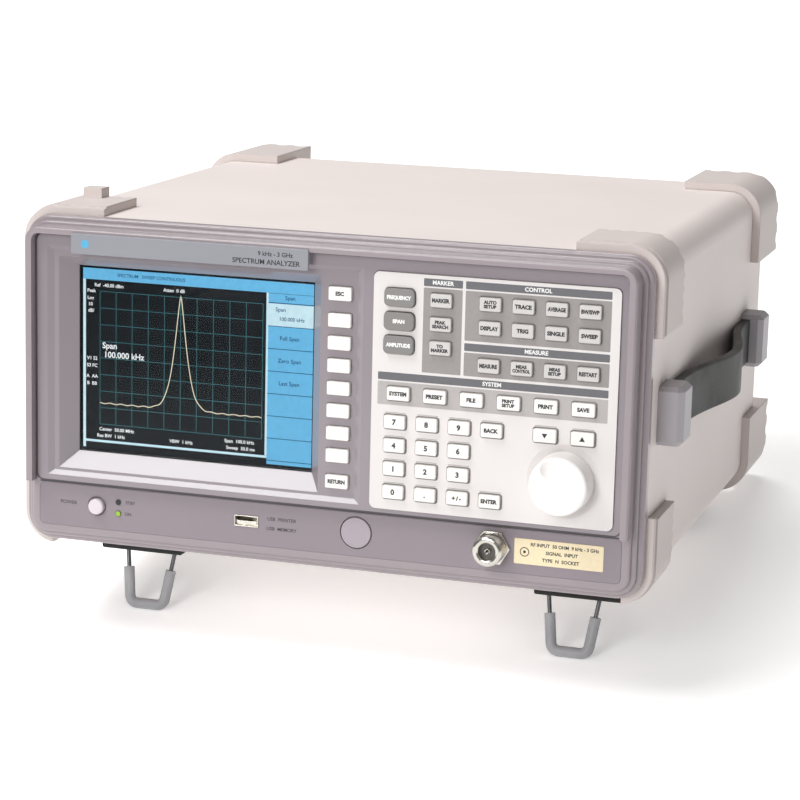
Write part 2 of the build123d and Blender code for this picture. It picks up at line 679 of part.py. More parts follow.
# ---------------------------------------------------------------- feet and tilt bails
slot_left = bail_x - bail_top_half - 2.1
slot_right = bail_x + bail_top_half + 2.1
stop_wall = 5.2
pivot_reach = 2.6
with BuildPart() as front_feet:
    add(box(foot_inner, foot_outer, foot_front, foot_back, -foot_height, 0.0))
    fillet(front_feet.faces().sort_by(Axis.Z)[0].edges(), 1.5)
    # the bail folds back into this slot; the front wall is its stop
    add(
        box(slot_left, slot_right, foot_front + stop_wall, foot_back + 1, -foot_height - 1, -4.0),
        mode=Mode.SUBTRACT,
    )
    for side in (slot_left - pivot_reach - 0.1, slot_right):
        with BuildSketch(Plane.YZ.offset(side)):
            with Locations((bail_pivot_y, bail_pivot_z)):
                Circle(bail_wire_r + running)
        extrude(amount=pivot_reach + 0.1, mode=Mode.SUBTRACT)
    mirror(about=Plane.YZ)

with BuildPart() as rear_feet:
    add(box(foot_inner, foot_outer, rear_foot_front, rear_foot_back, -foot_height, 0.0))
    fillet(rear_feet.faces().sort_by(Axis.Z)[0].edges(), rear_foot_round)
    mirror(about=Plane.YZ)

# The bail is drawn in its own plane: x across, y down the legs from the pivot.
lean = math.radians(bail_lean)
bail_plane = Plane(
    origin=(bail_x, bail_pivot_y, bail_pivot_z),
    x_dir=(1, 0, 0),
    z_dir=(0, math.cos(lean), -math.sin(lean)),
)
sleeve_start = 20.0


def leg_half(down):
    """Half the gap between the legs at a distance down from the pivot."""
    return bail_top_half + (bail_low_half - bail_top_half) * down / bail_leg


def bail_path(down):
    """The bail's centre line from `down` on one leg round to the same height on the other."""
    with BuildLine(bail_plane) as path:
        if down == 0:
            end = bail_top_half + 2.1 + pivot_reach
            FilletPolyline(
                (-end, 0),
                (-bail_top_half, 0),
                (-bail_low_half, bail_leg),
                (bail_low_half, bail_leg),
                (bail_top_half, 0),
                (end, 0),
                radius=(1.9, 4.5, 4.5, 1.9),
            )
        else:
            FilletPolyline(
                (-leg_half(down), down),
                (-bail_low_half, bail_leg),
                (bail_low_half, bail_leg),
                (leg_half(down), down),
                radius=4.5,
            )
    return path.line


def rod(path, radius, bore=0.0):
    """A round rod along a path, or a tube when a bore is given."""
    with BuildPart() as piece:
        with BuildSketch(Plane(origin=path @ 0, z_dir=path % 0)):
            Circle(radius)
            if bore > 0:
                Circle(bore, mode=Mode.SUBTRACT)
        sweep(path=path)
    return piece.part


with BuildPart() as tilt_bail_right:
    add(rod(bail_path(0), bail_wire_r))
with BuildPart() as bail_sleeve_right:
    add(rod(bail_path(sleeve_start), bail_sleeve_r, bail_wire_r))
with BuildPart() as tilt_bail_left:
    add(mirror(tilt_bail_right.part, Plane.YZ))
with BuildPart() as bail_sleeve_left:
    add(mirror(bail_sleeve_right.part, Plane.YZ))

# ---------------------------------------------------------------- stance and export
# The case leans back until it stands on both bail sleeves and the rear feet's back edges.
front_y = bail_pivot_y - bail_leg * math.sin(lean)
front_z = bail_pivot_z - bail_leg * math.cos(lean)
edge_y = rear_foot_back - rear_foot_round
edge_z = rear_foot_round - foot_height
span = math.hypot(edge_y - front_y, edge_z - front_z)
tilt = math.atan2(edge_z - front_z, edge_y - front_y)
tilt += math.asin((bail_sleeve_r - rear_foot_round) / span)
floor_z = math.cos(tilt) * front_z - math.sin(tilt) * front_y - bail_sleeve_r
leaned = Location((0, 0, 0), (-math.degrees(tilt), 0, 0))

pieces = {
    "front_frame": front_frame,
    "inner_panel": inner_panel,
    "screen_window": screen_window,
    "lcd_module": lcd_module,
    "keypad_overlay": keypad_overlay,
    "name_plate": name_plate,
    "tuning_knob": tuning_knob,
    "knob_encoder": knob_encoder,
    "lower_panel": lower_panel,
    "power_button": power_button,
    "status_leds": status_leds,
    "usb_port": usb_port,
    "port_cap": port_cap,
    "rf_connector": rf_connector,
    "input_label": input_label,
    "case_sleeve": case_sleeve,
    "rear_panel": rear_panel,
    "screws": screws,
    "fan_frame": fan_frame,
    "fan_rotor": fan_rotor,
    "fan_guard": fan_guard,
    "mains_inlet": mains_inlet,
    "rear_connectors": rear_connectors,
    "chassis": chassis,
    "circuit_boards": circuit_boards,
    "rf_module": rf_module,
    "power_supply": power_supply,
    "handle_strap": handle_strap,
    "handle_caps": handle_caps,
    "corner_bumpers_front": corner_bumpers_front,
    "corner_bumpers_rear": corner_bumpers_rear,
    "front_feet": front_feet,
    "rear_feet": rear_feet,
    "tilt_bail_left": tilt_bail_left,
    "tilt_bail_right": tilt_bail_right,
    "bail_sleeve_left": bail_sleeve_left,
    "bail_sleeve_right": bail_sleeve_right,
}
for name, (centres, (width, height, radius), face) in key_nodes.items():
    with BuildPart() as keys:
        for x, z in centres:
            add(one_key(x, z, width, height, radius, face))
    pieces[name] = keys

leaning = {name: piece.part.moved(leaned) for name, piece in pieces.items()}
boxes = [piece.bounding_box() for piece in leaning.values()]
centre_x = (min(b.min.X for b in boxes) + max(b.max.X for b in boxes)) / 2
centre_y = (min(b.min.Y for b in boxes) + max(b.max.Y for b in boxes)) / 2
foot = Location((-centre_x, -centre_y, -floor_z))

os.makedirs("parts", exist_ok=True)
for name, piece in leaning.items():
    standing = piece.moved(foot)
    standing.label = name
    export_step(standing, f"parts/{name}.step")

print("nodes", len(pieces))
print("tilt degrees", round(math.degrees(tilt), 4))
print("shift", tuple(foot.position))
print("lowest point above the floor", min(b.min.Z for b in boxes) - floor_z)
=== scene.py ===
import json
import math

import bmesh
import bpy
from mathutils import Matrix, Vector


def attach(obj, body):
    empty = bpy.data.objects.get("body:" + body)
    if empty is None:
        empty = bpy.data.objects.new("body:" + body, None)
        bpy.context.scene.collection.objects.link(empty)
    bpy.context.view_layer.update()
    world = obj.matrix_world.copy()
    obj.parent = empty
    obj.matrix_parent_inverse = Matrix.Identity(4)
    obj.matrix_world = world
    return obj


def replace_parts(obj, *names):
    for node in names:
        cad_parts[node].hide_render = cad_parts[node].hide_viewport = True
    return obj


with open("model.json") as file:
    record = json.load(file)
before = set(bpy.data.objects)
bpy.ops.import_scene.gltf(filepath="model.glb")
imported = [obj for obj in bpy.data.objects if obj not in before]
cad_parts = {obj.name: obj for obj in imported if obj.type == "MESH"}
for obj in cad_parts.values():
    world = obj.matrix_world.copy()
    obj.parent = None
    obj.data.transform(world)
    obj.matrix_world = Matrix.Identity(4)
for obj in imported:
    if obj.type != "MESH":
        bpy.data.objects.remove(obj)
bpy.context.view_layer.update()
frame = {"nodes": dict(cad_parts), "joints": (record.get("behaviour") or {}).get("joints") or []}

nodes = frame["nodes"]
joints = {joint["name"]: joint for joint in frame["joints"]}

# ---------------------------------------------------------------- the case's own frame
# Millimetres: x to the operator's right, y into the case from the keypad face, z up the front.
# The case leans back on its bails, so this frame is turned from the row's frame.
MM = 0.001
PROUD = 0.01  # how far print stands off the surface under it
KNOB_X, KNOB_Z = 131.0, 61.5
right = Vector((1, 0, 0))
inward = -Vector(joints["knob_turn"]["axis"])
up = right.cross(inward)
lean = Matrix((right, inward, up)).transposed().to_4x4()
corner = Vector(joints["knob_turn"]["pos_m"]) - MM * (KNOB_X * right + KNOB_Z * up)
CASE = Matrix.Translation(corner) @ lean @ Matrix.Scale(MM, 4)
# Flat art is drawn in x and y and stood up to face the operator, or to face backwards.
FACING = Matrix(((1, 0, 0), (0, 0, -1), (0, 1, 0))).to_4x4()
BACKING = Matrix(((-1, 0, 0), (0, 0, 1), (0, 1, 0))).to_4x4()


def case_points(node):
    """A node's vertices in the case's frame."""
    to_case = CASE.inverted()
    return [to_case @ vertex.co for vertex in nodes[node].data.vertices]


def spans(points):
    """The (low, high) pairs of some points along x, y and z."""
    return [(min(p[i] for p in points), max(p[i] for p in points)) for i in range(3)]


def key_tops(node):
    """The centres (x, z) of a node's separate keys, in reading order, and their front y."""
    mesh = bmesh.new()
    mesh.from_mesh(nodes[node].data)
    mesh.transform(CASE.inverted())
    bmesh.ops.remove_doubles(mesh, verts=mesh.verts, dist=0.001)
    left = set(mesh.verts)
    tops = []
    while left:
        island, edge_of = set(), [left.pop()]
        while edge_of:
            vertex = edge_of.pop()
            island.add(vertex)
            for edge in vertex.link_edges:
                other = edge.other_vert(vertex)
                if other in left:
                    left.discard(other)
                    edge_of.append(other)
        (x0, x1), (y0, y1), (z0, z1) = spans([v.co for v in island])
        tops.append(((x0 + x1) / 2, (z0 + z1) / 2, y0))
    mesh.free()
    tops.sort(key=lambda top: (-round(top[1]), top[0]))
    return [(x, z) for x, z, _ in tops], tops[0][2]


# ---------------------------------------------------------------- materials
def rgb(code):
    """A linear colour from an sRGB code such as 9C9196."""
    parts = [int(code[i:i + 2], 16) / 255 for i in (0, 2, 4)]
    linear = [p / 12.92 if p <= 0.04045 else ((p + 0.055) / 1.055) ** 2.4 for p in parts]
    return (*linear, 1.0)


def scaled(colour, factor):
    """A colour made darker or lighter."""
    return (*[min(1.0, c * factor) for c in colour[:3]], 1.0)


class Finish:
    """A material built up from small steps on one node tree."""

    def __init__(self, name):
        self.material = bpy.data.materials.new(name)
        self.material.use_nodes = True
        self.tree = self.material.node_tree
        self.shader = self.tree.nodes["Principled BSDF"]
        self.place = self.node("ShaderNodeTexCoord").outputs["Object"]

    def node(self, kind, **sockets):
        """A new node with some of its inputs set; an underscore stands for a space in a socket's name."""
        made = self.tree.nodes.new(kind)
        for name, value in sockets.items():
            made.inputs[name.replace("_", " ")].default_value = value
        return made

    def link(self, output, target):
        self.tree.links.new(output, target)

    def stretched(self, scale):
        """The object's coordinates, scaled along each axis."""
        mapping = self.node("ShaderNodeMapping", Scale=scale)
        self.link(self.place, mapping.inputs["Vector"])
        return mapping.outputs["Vector"]

    def noise(self, scale, detail=2.0, stretch=None):
        made = self.node("ShaderNodeTexNoise", Scale=scale, Detail=detail)
        self.link(self.stretched(stretch) if stretch else self.place, made.inputs["Vector"])
        return made.outputs["Fac"]

    def cells(self, scale):
        """The distance to the nearest of many scattered points, for a pebbled grain."""
        made = self.node("ShaderNodeTexVoronoi", Scale=scale)
        self.link(self.place, made.inputs["Vector"])
        return made.outputs["Distance"]

    def ramp(self, value, low, high, to_low, to_high):
        """A value carried from one range to another."""
        made = self.node("ShaderNodeMapRange", From_Min=low, From_Max=high, To_Min=to_low, To_Max=to_high)
        self.link(value, made.inputs["Value"])
        return made.outputs["Result"]

    def mix(self, factor, first, second):
        """A blend of two colours, each a constant or an output."""
        made = self.tree.nodes.new("ShaderNodeMix")
        made.data_type = "RGBA"
        self.link(factor, made.inputs[0])
        for socket, value in ((made.inputs[6], first), (made.inputs[7], second)):
            if isinstance(value, tuple):
                socket.default_value = value
            else:
                self.link(value, socket)
        return made.outputs[2]

    def product(self, first, second):
        made = self.tree.nodes.new("ShaderNodeMath")
        made.operation = "MULTIPLY"
        self.link(first, made.inputs[0])
        self.link(second, made.inputs[1])
        return made.outputs[0]

    def soft_edge(self, radius):
        """A normal that rounds edges off by a radius in millimetres, and a mask of those edges."""
        bevel = self.tree.nodes.new("ShaderNodeBevel")
        bevel.samples = 4
        bevel.inputs["Radius"].default_value = radius * MM
        dot = self.tree.nodes.new("ShaderNodeVectorMath")
        dot.operation = "DOT_PRODUCT"
        self.link(bevel.outputs["Normal"], dot.inputs[0])
        self.link(self.node("ShaderNodeNewGeometry").outputs["Normal"], dot.inputs[1])
        return bevel.outputs["Normal"], self.ramp(dot.outputs["Value"], 0.80, 0.99, 1.0, 0.0)

    def bump(self, height, depth, normal=None, strength=0.6):
        """A normal roughened by a height, with a depth in millimetres."""
        made = self.node("ShaderNodeBump", Strength=strength, Distance=depth * MM)
        self.link(height, made.inputs["Height"])
        if normal is not None:
            self.link(normal, made.inputs["Normal"])
        return made.outputs["Normal"]

    def set(self, **sockets):
        """Sets inputs of the shader, from constants or from outputs."""
        for name, value in sockets.items():
            socket = self.shader.inputs[name.replace("_", " ")]
            if isinstance(value, (int, float, tuple)):
                socket.default_value = value
            else:
                self.link(value, socket)


def moulded(name, code, roughness=0.5, grain=1400, depth=0.03, edge=0.5, mottle=0.03, edge_wear_and_highlight=0.25, **more):
    """Moulded or painted surface: cloudy colour, fine texture, softened edges lightened partly as wear and
    partly as a painted edge highlight.
    """
    f = Finish(name)
    colour = rgb(code)
    cloud = f.ramp(f.noise(14, 2.0), 0.2, 0.8, 0.0, 1.0)
    body = f.mix(cloud, scaled(colour, 1 - mottle), scaled(colour, 1 + mottle))
    normal, edges = f.soft_edge(edge)
    # edges mixed toward a paler colour: partly rubbed wear, partly a painted highlight where edges catch the
    # light
    worn_and_lit_edges = f.product(edges, f.ramp(f.noise(160, 3.0), 0.35, 0.65, 0.3 * edge_wear_and_highlight, edge_wear_and_highlight))
    pale = scaled(colour, 1.35)
    fine = f.noise(grain, 2.0)
    f.set(Base_Color=f.mix(worn_and_lit_edges, body, pale), Normal=f.bump(fine, depth, normal))
    f.set(Roughness=f.ramp(cloud, 0, 1, roughness - 0.02, roughness + 0.02), **more)
    return f.material


def rubbery(name, code, roughness=0.75, grain=900, depth=0.08, edge=0.6, pale=1.8, **more):
    """Soft dark plastic: pebbled grain with a dusty sheen, and edges painted paler as a painted edge
    highlight.
    """
    f = Finish(name)
    colour = rgb(code)
    pebbles = f.cells(grain)
    dust = f.ramp(f.noise(40, 5.0), 0.4, 0.75, 0.0, 1.0)
    normal, edges = f.soft_edge(edge)
    body = f.mix(dust, colour, scaled(colour, 1.3))
    # edges mixed toward a paler colour: a painted edge highlight
    f.set(Base_Color=f.mix(f.ramp(edges, 0, 1, 0, 0.4), body, scaled(colour, pale)))
    f.set(Normal=f.bump(pebbles, depth, normal), Sheen_Weight=0.08, Sheen_Roughness=0.5)
    f.set(Roughness=f.ramp(dust, 0, 1, roughness - 0.08, roughness + 0.08), **more)
    return f.material


def plated(name, code, roughness=0.22, stretch=(1, 1, 1), scratch=900, **more):
    """Metal: drawn or turned marks, patches of duller plating, and edges painted brighter as a painted
    highlight.
    """
    f = Finish(name)
    colour = rgb(code)
    marks = f.noise(scratch, 3.0, stretch)
    haze = f.ramp(f.noise(60, 4.0), 0.35, 0.7, 0.0, 1.0)
    normal, edges = f.soft_edge(0.25)
    body = f.mix(haze, colour, scaled(colour, 0.86))
    # edges mixed toward a brighter colour: a painted edge highlight
    f.set(Base_Color=f.mix(f.ramp(edges, 0, 1, 0, 0.5), body, scaled(colour, 1.2)), Metallic=1.0)
    f.set(Normal=f.bump(marks, 0.01, normal, 0.4))
    f.set(Roughness=f.ramp(marks, 0.3, 0.7, roughness - 0.07, roughness + 0.1), **more)
    return f.material


def printed(name, code, roughness=0.45):
    """Screen-printed ink: slightly uneven cover with a faint film of its own."""
    f = Finish(name)
    colour = rgb(code)
    cover = f.ramp(f.noise(500, 4.0), 0.35, 0.7, 0.0, 1.0)
    f.set(Base_Color=f.mix(cover, scaled(colour, 0.97), scaled(colour, 1.03)))
    f.set(Roughness=f.ramp(cover, 0, 1, roughness - 0.05, roughness + 0.08))
    f.set(Normal=f.bump(f.noise(1500), 0.01))
    return f.material


def lit(name, code, strength=1.0):
    """A patch of the lit display: a slightly uneven glow over a dark, faintly mottled cell."""
    f = Finish(name)
    colour = rgb(code)
    glow = f.ramp(f.noise(9, 2.0), 0.3, 0.7, 0.0, 1.0)
    even = f.mix(glow, scaled(colour, 0.94), scaled(colour, 1.06))
    fine = f.ramp(f.noise(400.0, 1.0), 0.3, 0.7, 0.0, 0.08)
    f.set(Base_Color=(0.004, 0.004, 0.005, 1), Specular_IOR_Level=0.1)
    f.set(Roughness=f.ramp(glow, 0, 1, 0.3, 0.36))
    f.set(Emission_Color=f.mix(fine, even, (0, 0, 0, 1)), Emission_Strength=strength)
    return f.material


def clear_pane(name):
    """The pane over the display: thin, faintly tinted and wiped, with a soft reflection."""
    f = Finish(name)
    smear = f.noise(60, 5.0, (1, 1, 3))
    f.set(Base_Color=f.mix(smear, (0.96, 0.98, 0.98, 1), (1, 1, 1, 1)), Transmission_Weight=1.0, IOR=1.12)
    f.set(Roughness=f.ramp(smear, 0.3, 0.7, 0.0, 0.03))
    return f.material


def board(name):
    """Circuit board: green mask over faint tracks."""
    f = Finish(name)
    tracks = f.node("ShaderNodeTexBrick", Scale=90.0, Mortar_Size=0.06)
    f.link(f.place, tracks.inputs["Vector"])
    tracks.inputs["Color1"].default_value = rgb("1E5A34")
    tracks.inputs["Color2"].default_value = rgb("236B3D")
    tracks.inputs["Mortar"].default_value = rgb("4E9A5E")
    f.set(Base_Color=tracks.outputs["Color"], Coat_Weight=0.3)
    f.set(Roughness=f.ramp(f.noise(300), 0.3, 0.7, 0.3, 0.45), Normal=f.bump(tracks.outputs["Fac"], 0.03))
    return f.material


# colours are sRGB codes; the lengths that moulded and the others take are in millimetres
finishes = {
    "front_frame": moulded("frame_plastic", "998E92", 0.3, 2500, 0.005, Coat_Weight=0.5, Coat_Roughness=0.16),
    "inner_panel": moulded("panel_plastic", "8F868B", 0.3, 2500, 0.003, Coat_Weight=0.7, Coat_Roughness=0.13),
    "lower_panel": moulded("lower_plastic", "8F858B", 0.34, grain=2500, depth=0.006),
    "screen_window": clear_pane("display_pane"),
    "keypad_overlay": moulded("overlay_film", "E0DBD9", 0.42, 2200, 0.015, mottle=0.015, edge_wear_and_highlight=0.1),
    "name_plate": moulded("plate_plastic", "8F8F96", 0.38, grain=2500, depth=0.012),
    "tuning_knob": moulded("knob_plastic", "F3EFEC", 0.36, grain=2500, depth=0.01, mottle=0.02, edge_wear_and_highlight=0.1),
    "power_button": moulded("button_plastic", "DCD1D7", 0.36, grain=2500, depth=0.01),
    "port_cap": moulded("cap_plastic", "A99EA6", 0.42, edge=0.3),
    "case_sleeve": moulded("case_paint", "E6DBD7", 0.5, grain=700, depth=0.05, mottle=0.02, edge_wear_and_highlight=0.15),
    "rear_panel": moulded("rear_paint", "D3CAC5", 0.52, grain=700, depth=0.05, mottle=0.02),
    "bumper": moulded("bumper_plastic", "D2C7C3", 0.5, grain=1100, depth=0.04, edge=1.4, mottle=0.03),
    "handle_caps": moulded("cap_grey", "A6A1A5", 0.38, edge=0.6),
    "function_keys": moulded("key_grey", "84817F", 0.42, grain=2200, depth=0.012, edge=0.3),
    "zone_keys": moulded("key_silver", "CBC7C4", 0.42, grain=2200, depth=0.012, edge=0.3),
    "light_keys": moulded("key_white", "F2EEE9", 0.4, grain=2200, depth=0.012, edge=0.3, mottle=0.02),
    # dark finish for strips of painted shadow along the inner panel's edges and under its lower edge
    "painted_shadow_lines": rubbery("painted_shadow_line_finish", "4A4548", 0.6, edge=0.1),
    "black_plastic": moulded("black_plastic", "1C1C1D", 0.45),
    "feet": rubbery("foot_rubber", "171718"),
    # pale=14.0 paints the strap's edges far lighter: a painted highlight along its top edge
    "strap": rubbery("strap_vinyl", "1B1917", 0.6, grain=700, depth=0.1, edge=1.6, pale=14.0),
    "sleeve": rubbery("sleeve_rubber", "97979A", 0.55, grain=1600, depth=0.03),
    "wire": plated("drawn_wire", "6E6E70", 0.3, (1, 1, 0.1)),
    "nickel": plated("nickel_plate", "D9D5CC", 0.16),
    "steel": plated("zinc_steel", "B9BBBD", 0.35, (0.05, 1, 1), 300),
    "alloy": plated("milled_alloy", "C4C6C8", 0.32, (0.05, 1, 1), 400),
    "board": board("circuit_board"),
    # the insulator is white but coloured dark grey: painted shade inside the socket's mouth
    "insulator": moulded("insulator", "5E5C58", 0.4, edge=0.1),
    "label": printed("label_stock", "EFDEBA", 0.5),
    "ink_dark": printed("ink_dark", "2B2B2E"),
    "ink_bar": printed("ink_bar", "67676B"),
    "ink_dark_zone": printed("ink_dark_zone", "96918F"),
    "ink_light_zone": printed("ink_light_zone", "B2ADAB"),
    # grey for the rings of painted shadow round the keys
    "painted_key_shadow_ink": printed("painted_key_shadow_ink", "827E7D"),
    "ink_line": printed("ink_line", "A9A7A5"),
    "ink_white": printed("ink_white", "F2F1EF"),
    "ink_blue": printed("ink_blue", "55A9CF"),
    "led_dark": moulded("led_dark", "2A2A2A", 0.25, edge=0.1),
    "led_green": lit("led_green", "B4DC4E", 0.9),
    "lit_black": lit("lit_black", "11161A", 0.8),
    "lit_blue": lit("lit_blue", "6ABAE6"),
    "lit_pale": lit("lit_pale", "C9E8F2"),
    "lit_grid": lit("lit_grid", "3F8088"),
    "lit_cream": lit("lit_cream", "F0E9CC", 1.1),
    "lit_white": lit("lit_white", "F2F6F8"),
    "lit_navy": lit("lit_navy", "1D4A78"),
}


def dress(node, finish):
    """Gives a CAD node its finished material."""
    slots = nodes[node].data.materials
    slots.clear()
    slots.append(finishes[finish])


dressing = {
    "front_frame": "front_frame",
    "inner_panel": "inner_panel",
    "screen_window": "screen_window",
    "lcd_module": "black_plastic",
    "keypad_overlay": "keypad_overlay",
    "circuit_boards": "board",
    "name_plate": "name_plate",
    "tuning_knob": "tuning_knob",
    "knob_encoder": "alloy",
    "lower_panel": "lower_panel",
    "power_button": "power_button",
    "status_leds": "led_dark",
    "usb_port": "nickel",
    "port_cap": "port_cap",
    "rf_connector": "nickel",
    "input_label": "label",
    "case_sleeve": "case_sleeve",
    "rear_panel": "rear_panel",
    "screws": "steel",
    "fan_frame": "black_plastic",
    "fan_rotor": "black_plastic",
    "fan_guard": "steel",
    "mains_inlet": "black_plastic",
    "rear_connectors": "nickel",
    "chassis": "steel",
    "rf_module": "alloy",
    "power_supply": "alloy",
    "handle_strap": "strap",
    "handle_caps": "handle_caps",
    "corner_bumpers_front": "bumper",
    "corner_bumpers_rear": "bumper",
    "front_feet": "feet",
    "rear_feet": "feet",
    "tilt_bail_left": "wire",
    "tilt_bail_right": "wire",
    "bail_sleeve_left": "sleeve",
    "bail_sleeve_right": "sleeve",
}
grey_zones = ("keys_marker", "keys_control_upper", "keys_control_lower", "keys_measure")
for node in nodes:
    if node.startswith("key_function"):
        dressing[node] = "function_keys"
    elif node in grey_zones:
        dressing[node] = "zone_keys"
    elif node.startswith(("key_", "keys_")):
        dressing[node] = "light_keys"
for node, finish in dressing.items():
    dress(node, finish)


# ---------------------------------------------------------------- making pieces
def scene_link(thing):
    """Adds an object to the scene."""
    bpy.context.scene.collection.objects.link(thing)
    return thing


def mesh_of(data):
    """The mesh that a curve or a text gives."""
    thing = scene_link(bpy.data.objects.new("draft", data))
    bpy.context.view_layer.update()
    mesh = bpy.data.meshes.new_from_object(thing.evaluated_get(bpy.context.evaluated_depsgraph_get()))
    bpy.data.objects.remove(thing)
    bpy.data.curves.remove(data)
    return mesh


def cornered(x0, x1, z0, z1, radius=0.0, steps=5):
    """The outline of a rectangle with rounded corners."""
    if radius <= 0:
        return [(x0, z0), (x1, z0), (x1, z1), (x0, z1)]
    outline = []
    corners = ((x1 - radius, z0 + radius, -90), (x1 - radius, z1 - radius, 0),
               (x0 + radius, z1 - radius, 90), (x0 + radius, z0 + radius, 180))
    for cx, cz, start in corners:
        for i in range(steps + 1):
            turn = math.radians(start + 90 * i / steps)
            outline.append((cx + radius * math.cos(turn), cz + radius * math.sin(turn)))
    return outline


def around(x, z, width, height, radius=0.0):
    """The outline of a rounded rectangle about its centre."""
    return cornered(x - width / 2, x + width / 2, z - height / 2, z + height / 2, radius)


def ring(x, z, radius, steps=40):
    """The outline of a circle."""
    turns = [2 * math.pi * i / steps for i in range(steps)]
    return [(x + radius * math.cos(t), z + radius * math.sin(t)) for t in turns]


def flat(outlines, thickness=0.05, rounding=0.0):
    """A plate from outlines; an outline inside another is a hole. Its middle plane is at 0."""
    curve = bpy.data.curves.new("draft", "CURVE")
    curve.dimensions = "2D"
    curve.fill_mode = "BOTH"
    curve.extrude = thickness / 2 - rounding
    curve.bevel_depth = rounding
    curve.bevel_resolution = 2
    curve.offset = -rounding
    for outline in outlines:
        spline = curve.splines.new("POLY")
        spline.points.add(len(outline) - 1)
        for point, (x, y) in zip(spline.points, outline):
            point.co = (x, y, 0, 1)
        spline.use_cyclic_u = True
    return mesh_of(curve)


def text_mesh(words, size, weight):
    """Words as a thin mesh, made bolder by a weight that is a part of the size."""
    text = bpy.data.curves.new("draft", "FONT")
    text.body = words
    text.size = size
    text.align_x = "CENTER"
    text.align_y = "CENTER"
    text.offset = weight * size
    text.extrude = 0.02
    text.resolution_u = 3
    return mesh_of(text)


def cap_height():
    """The height of a capital letter when the text size is 1."""
    sample = text_mesh("H", 1.0, 0.0)
    tall = max(v.co.y for v in sample.vertices) - min(v.co.y for v in sample.vertices)
    bpy.data.meshes.remove(sample)
    return tall


CAP = cap_height()


def lettering(words, height, limit=None, weight=0.012):
    """Words with capitals of a given height, centred at 0, squeezed to a width when that is needed."""
    mesh = text_mesh(words, height / CAP, weight)
    low = min(v.co.x for v in mesh.vertices)
    high = max(v.co.x for v in mesh.vertices)
    squeeze = min(1.0, limit / (high - low)) if limit else 1.0
    mesh.transform(Matrix.Diagonal((squeeze, 1, 1, 1)) @ Matrix.Translation((-(low + high) / 2, 0, 0)))
    return mesh


class Print:
    """Flat shapes and lettering of one finish, gathered into one piece."""

    def __init__(self, stand=FACING):
        self.mesh = bmesh.new()
        self.stand = stand

    def put(self, mesh, x=0.0, z=0.0, y=0.0):
        mesh.transform(Matrix.Translation((x, y, z)) @ self.stand)
        self.mesh.from_mesh(mesh)
        bpy.data.meshes.remove(mesh)

    def piece(self, name, finish, body, slot):
        return as_piece(name, self.mesh, finish, body)


def as_piece(name, mesh, finish, body, sharp=40.0):
    """Turns a bmesh in the case's frame into a finished piece that rides on a body."""
    bmesh.ops.remove_doubles(mesh, verts=mesh.verts, dist=0.0005)
    for face in mesh.faces:
        face.smooth = True
    for edge in mesh.edges:
        edge.smooth = len(edge.link_faces) == 2 and edge.calc_face_angle(0) < math.radians(sharp)
    mesh.transform(CASE)
    data = bpy.data.meshes.new(name)
    mesh.to_mesh(data)
    mesh.free()
    data.materials.append(finishes[finish])
    thing = scene_link(bpy.data.objects.new(name, data))
    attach(thing, body)
    return thing


def lathe(profile, x, z, steps=64, ripple=None):
    """A turned shape about the line (x, z) along y, from (radius, y) points.

    ripple(turn, y) adds to a radius."""
    mesh = bmesh.new()
    rows = []
    for radius, y in profile:
        row = []
        for i in range(steps):
            turn = 2 * math.pi * i / steps
            r = radius + (ripple(turn, y) if ripple and radius > 0 else 0)
            row.append(mesh.verts.new((x + r * math.cos(turn), y, z + r * math.sin(turn))))
        rows.append(row)
    for near, far in zip(rows, rows[1:]):
        for i in range(steps):
            j = (i + 1) % steps
            mesh.faces.new((near[i], near[j], far[j], far[i]))
    bmesh.ops.recalc_face_normals(mesh, faces=mesh.faces)
    return mesh


def tube(points, radius):
    """A round line through points (x, y, z)."""
    curve = bpy.data.curves.new("draft", "CURVE")
    curve.dimensions = "3D"
    curve.bevel_depth = radius
    curve.bevel_resolution = 2
    curve.use_fill_caps = True
    spline = curve.splines.new("POLY")
    spline.points.add(len(points) - 1)
    for point, place in zip(spline.points, points):
        point.co = (*place, 1)
    return mesh_of(curve)


# ---------------------------------------------------------------- display
pane_back = spans(case_points("screen_window"))[1][1]
LIT_X, LIT_Z = -73.9, 101.9
LIT_W, LIT_H = 130.6, 97.9
PANEL_Y = pane_back + 0.5
PICTURE_Y = PANEL_Y - 0.08


def on_screen(u, v):
    """A place on the lit area, u across and v down, each from 0 to 1."""
    return LIT_X + (u - 0.5) * LIT_W, LIT_Z + (0.5 - v) * LIT_H


def patch(u0, u1, v0, v1):
    """The outline of a rectangle on the lit area."""
    x0, z1 = on_screen(u0, v0)
    x1, z0 = on_screen(u1, v1)
    return cornered(x0, x1, z0, z1)


def display_panel():
    """The display's metal rim round a dark cell, just behind the pane."""
    rim = Print()
    outer = around(LIT_X, LIT_Z, LIT_W + 8, LIT_H + 8, 1.0)
    inner = around(LIT_X, LIT_Z, LIT_W + 2.6, LIT_H + 2.6, 0.4)
    rim.put(flat([outer, inner], 5.0, 0.12), y=pane_back + 2.6)
    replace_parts(rim.piece("display_rim", "black_plastic", "case", "lcd_module"), "lcd_module")
    cell = Print()
    cell.put(flat([around(LIT_X, LIT_Z, LIT_W + 2.8, LIT_H + 2.8)], 4.0, 0.1), y=PANEL_Y + 2.0)
    cell.piece("display_cell", "lit_black", "case", "lcd_module")


MENU_U = 0.808
GRID = (0.075, 0.785, 0.125, 0.865)
GRID_COLUMNS, GRID_ROWS = 10, 8


